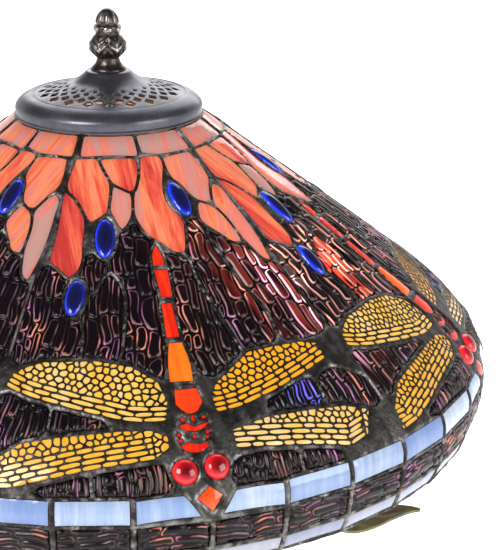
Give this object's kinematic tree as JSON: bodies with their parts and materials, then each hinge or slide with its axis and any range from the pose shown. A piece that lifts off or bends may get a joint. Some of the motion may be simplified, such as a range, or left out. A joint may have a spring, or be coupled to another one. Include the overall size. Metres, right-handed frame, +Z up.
{
  "type": "stained glass table lamp",
  "caption": "Table lamp with a wide leaded-glass dragonfly shade under a pierced cap and finial, on a turned bronze stem with curled leaves.",
  "frame": {"origin": "on the lamp's axis, in the plane that it stands on", "axes": "+Z up along the stem, -Y towards the front"},
  "size_m": [0.5092, 0.5092, 0.6599],
  "materials": {
    "peach_glass": "streaky opalescent glass, orange to pink",
    "plum_glass": "dark plum ripple glass with a worm-like relief",
    "blue_glass": "streaky light blue opalescent glass",
    "pale_glass": "streaky near-white opalescent glass",
    "lead": "patinated solder and lead, uneven, dark with worn bright spots",
    "wing_plate": "pierced dark metal over amber glass",
    "dark_bronze": "dark antique bronze, satin",
    "cast_bronze": "cast bronze with dark brown patina",
    "leaf_bronze": "cast bronze with brown and green patina",
    "bulb_glass": "frosted bulb, lit",
    "bulb_cap": "plain metal screw cap",
    "phenolic": "dark moulded phenolic",
    "felt": "dark green felt",
    "iron": "bare cast iron",
    "steel": "zinc plated steel",
    "brass": "aged plain brass"
  },
  "bodies": {
    "lamp": {"bottom_nut": "steel", "bottom_washer": "steel", "bulb_base_1": "bulb_cap", "bulb_base_2": "bulb_cap", "bulb_base_3": "bulb_cap", "bulb_glass_1": "bulb_glass", "bulb_glass_2": "bulb_glass", "bulb_glass_3": "bulb_glass", "cluster_body": "brass", "cluster_cover": "brass", "cord_bushing": "phenolic", "felt_pad": "felt", "foot": "cast_bronze", "foot_weight": "iron", "lamp_pipe": "steel", "leaf_1": "leaf_bronze", "leaf_2": "leaf_bronze", "leaf_3": "leaf_bronze", "leaf_4": "leaf_bronze", "leaf_5": "leaf_bronze", "leaf_hub": "cast_bronze", "neck": "cast_bronze", "riser_pipe": "steel", "seat_nut": "brass", "shade_seat": "brass", "socket_cap_1": "brass", "socket_cap_2": "brass", "socket_cap_3": "brass", "socket_core_1": "phenolic", "socket_core_2": "phenolic", "socket_core_3": "phenolic", "socket_shell_1": "brass", "socket_shell_2": "brass", "socket_shell_3": "brass", "stem": "cast_bronze", "vented_cap": "dark_bronze"},
    "shade": {"border_glass": "blue_glass", "border_lower_came": "lead", "border_upper_came": "lead", "crown_came": "lead", "crown_glass": "peach_glass", "dragonfly_1": "wing_plate", "dragonfly_2": "wing_plate", "dragonfly_3": "wing_plate", "dragonfly_4": "wing_plate", "dragonfly_5": "wing_plate", "dragonfly_6": "wing_plate", "edge_glass": "pale_glass", "field_glass": "plum_glass", "petal_glass": "peach_glass", "rim_band": "lead", "skirt_came": "lead", "skirt_glass": "plum_glass", "top_ring": "brass"},
    "finial": {"finial": "dark_bronze"},
    "key_1": {"socket_key_1": "phenolic"},
    "key_2": {"socket_key_2": "phenolic"},
    "key_3": {"socket_key_3": "phenolic"}
  },
  "joints": [
    {"name": "shade_turn", "type": "hinge", "parent": "lamp", "child": "shade", "pos_m": [0, 0, 0.5], "axis": [0, 0, 1], "continuous": true},
    {"name": "finial_turn", "type": "hinge", "parent": "lamp", "child": "finial", "pos_m": [0, 0, 0.63], "axis": [0, 0, 1], "continuous": true},
    {"name": "key_turn_1", "type": "hinge", "parent": "lamp", "child": "key_1", "pos_m": [0.04623, -0.03879, 0.44921], "axis": [0.0668, -0.056, -0.9962], "continuous": true},
    {"name": "key_turn_2", "type": "hinge", "parent": "lamp", "child": "key_2", "pos_m": [0.01048, 0.05943, 0.44921], "axis": [0.0151, 0.0858, -0.9962], "continuous": true},
    {"name": "key_turn_3", "type": "hinge", "parent": "lamp", "child": "key_3", "pos_m": [-0.0567, -0.02064, 0.44921], "axis": [-0.0819, -0.0298, -0.9962], "continuous": true}
  ]
}
